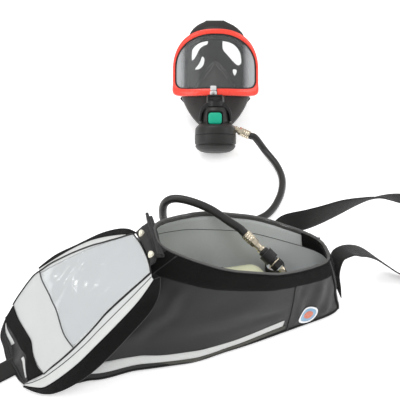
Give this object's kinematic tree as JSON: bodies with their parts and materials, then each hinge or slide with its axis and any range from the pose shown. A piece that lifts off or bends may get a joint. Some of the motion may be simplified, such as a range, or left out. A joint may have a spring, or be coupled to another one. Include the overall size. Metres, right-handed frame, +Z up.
{
  "type": "emergency escape breathing set",
  "caption": "Compressed-air escape set: full-face mask with demand valve on a hose, from a wedge-shaped carrying bag that holds the cylinder, reducer and coupling.",
  "frame": {"origin": "centre of the bag's base, on the floor", "axes": "+X along the bag from the lid end to the cylinder valve, +Y towards the mask, +Z up"},
  "size_m": [0.9914, 0.8948, 0.2166],
  "materials": {
    "bag_fabric": "coated leatherette, soft sheen",
    "lining_grey": "woven coated lining",
    "hook_tape": "matte hook-and-loop pile",
    "binding": "folded edge tape",
    "reflective": "retroreflective cloth",
    "board": "stiff board",
    "badge": "round printed disc",
    "foam": "closed-cell foam",
    "cylinder_paint": "pale cream paint",
    "webbing": "woven webbing",
    "nickel": "nickel-plated brass, satin",
    "steel": "bright steel",
    "alloy": "machined",
    "black_plastic": "moulded",
    "dial_white": "printed dial",
    "needle_red": "painted",
    "clear_lens": "clear",
    "hose_rubber": "smooth black rubber",
    "lid_silver": "silver-grey coated cloth",
    "clear_film": "clear vinyl film",
    "stud": "nickel-plated stud",
    "flap": "fabric flap with hook tape",
    "ldv_plastic": "textured dark grey",
    "ldv_rubber": "soft cover",
    "button_green": "teal green",
    "mask_rubber": "dark grey face rubber",
    "visor_clear": "clear polycarbonate",
    "frame_red": "vermilion",
    "clip_silver": "bright clip",
    "valve_rubber": "thin valve disc"
  },
  "bodies": {
    "bag": {"bag_shell": "bag_fabric", "bag_lining": "lining_grey", "rim_binding": "binding", "rim_tape": "hook_tape", "end_tape_inner": "hook_tape", "front_stripe": "reflective", "rear_stripe": "reflective", "base_board": "board", "badge_disc": "badge", "hinge_hem": "bag_fabric", "cylinder_cradle": "foam", "air_cylinder": "cylinder_paint", "cylinder_straps": "webbing", "valve_body": "nickel", "gauge_case": "black_plastic", "gauge_dial": "dial_white", "gauge_lens": "clear_lens", "reducer_body": "alloy", "reducer_spring": "steel", "reducer_cap": "alloy", "outlet_elbow": "nickel", "coupling_socket": "black_plastic", "hose_plug": "nickel", "hose_ferrule_lower": "nickel", "hose": "hose_rubber", "hose_ferrule_upper": "nickel", "neck_strap": "webbing", "waist_strap": "webbing", "strap_slider": "black_plastic"},
    "handwheel": {"valve_spindle": "steel", "valve_handwheel": "black_plastic"},
    "needle": {"gauge_needle": "needle_red"},
    "piston": {"reducer_piston": "nickel"},
    "sleeve": {"coupling_sleeve": "black_plastic"},
    "lid": {"lid_panel": "bag_fabric", "lid_lining": "lid_silver", "clear_pocket": "clear_film", "hinge_tab": "bag_fabric", "snap_studs": "stud"},
    "flap_front": {"lid_flap_front": "flap"},
    "flap_rear": {"lid_flap_rear": "flap"},
    "flap_end": {"lid_flap_end": "flap"},
    "demand_valve": {"ldv_housing": "ldv_plastic", "ldv_cover": "ldv_rubber", "ldv_diaphragm": "valve_rubber", "inlet_stem": "nickel", "ldv_seal_ring": "ldv_rubber"},
    "diaphragm_plate": {"ldv_plate": "steel"},
    "lever": {"ldv_lever": "steel"},
    "poppet": {"ldv_poppet": "nickel"},
    "button": {"ldv_button": "button_green"},
    "mask": {"connector_housing": "black_plastic", "face_blank": "mask_rubber", "visor": "visor_clear", "visor_frame": "frame_red", "frame_clip": "clip_silver", "inner_mask": "mask_rubber", "head_harness": "mask_rubber", "harness_buckles": "black_plastic"},
    "breathing_valve": {"breathing_disc": "valve_rubber"}
  },
  "joints": [
    {"name": "lid_hinge", "type": "hinge", "parent": "bag", "child": "lid", "pos_m": [-0.068, 0, 0.214], "axis": [0, 1, 0], "range_deg": [0, 185]},
    {"name": "front_flap_fold", "type": "hinge", "parent": "lid", "child": "flap_front", "pos_m": [-0.08171, -0.0855, 0.20233], "axis": [-0.7571, -0.108, -0.6443], "range_deg": [-8, 85]},
    {"name": "rear_flap_fold", "type": "hinge", "parent": "lid", "child": "flap_rear", "pos_m": [-0.2462, 0.116, 0.06234], "axis": [0.7062, -0.3742, 0.601], "range_deg": [0, 42]},
    {"name": "end_flap_fold", "type": "hinge", "parent": "lid", "child": "flap_end", "pos_m": [-0.27819, -0.084, 0.03512], "axis": [-0.1165, 0.9882, -0.0991], "range_deg": [-5, 60]},
    {"name": "valve_turn", "type": "hinge", "parent": "bag", "child": "handwheel", "pos_m": [0.154, 0, 0.054], "axis": [1, 0, 0], "range_deg": [0, 720]},
    {"name": "gauge_sweep", "type": "hinge", "parent": "bag", "child": "needle", "pos_m": [0.154, 0.034, 0.0695], "axis": [0, 0, -1], "range_deg": [0, 240]},
    {"name": "reducer_piston_slide", "type": "slide", "parent": "bag", "child": "piston", "axis": [0, 1, 0], "range_m": [0, 0.0012]},
    {"name": "coupling_sleeve_slide", "type": "slide", "parent": "bag", "child": "sleeve", "axis": [0.6082, -0.5843, -0.5373], "range_m": [0, 0.004]},
    {"name": "hose_swivel", "type": "hinge", "parent": "bag", "child": "demand_valve", "pos_m": [0.18809, 0.47833, 0.05752], "axis": [0.8397, -0.4365, -0.323], "range_deg": [-20, 20], "stiffness_Nm_per_rad": 0.6},
    {"name": "mask_swivel", "type": "hinge", "parent": "demand_valve", "child": "mask", "pos_m": [0.15601, 0.51788, 0.09849], "axis": [0.128, 0.6022, 0.788], "range_deg": [-30, 30]},
    {"name": "bypass_button", "type": "slide", "parent": "demand_valve", "child": "button", "axis": [0.1638, 0.7708, -0.6157], "range_m": [0, 0.003]},
    {"name": "diaphragm_stroke", "type": "slide", "parent": "demand_valve", "child": "diaphragm_plate", "axis": [0.128, 0.6022, 0.788], "range_m": [0, 0.002]},
    {"name": "demand_lever_tilt", "type": "hinge", "parent": "demand_valve", "child": "lever", "pos_m": [0.1616, 0.48648, 0.06067], "axis": [0.1638, 0.7708, -0.6157], "range_deg": [0, 8]},
    {"name": "demand_poppet_lift", "type": "slide", "parent": "demand_valve", "child": "poppet", "axis": [-0.8397, 0.4365, 0.323], "range_m": [0, 0.0005]},
    {"name": "breathing_disc_lift", "type": "slide", "parent": "mask", "child": "breathing_valve", "axis": [0.1638, 0.7708, -0.6157], "range_m": [0, 0.002]}
  ],
  "couplings": [
    {"joint": "demand_lever_tilt", "follows": "diaphragm_stroke", "rad_per_m": 69},
    {"joint": "demand_poppet_lift", "follows": "diaphragm_stroke", "ratio": 0.25}
  ]
}
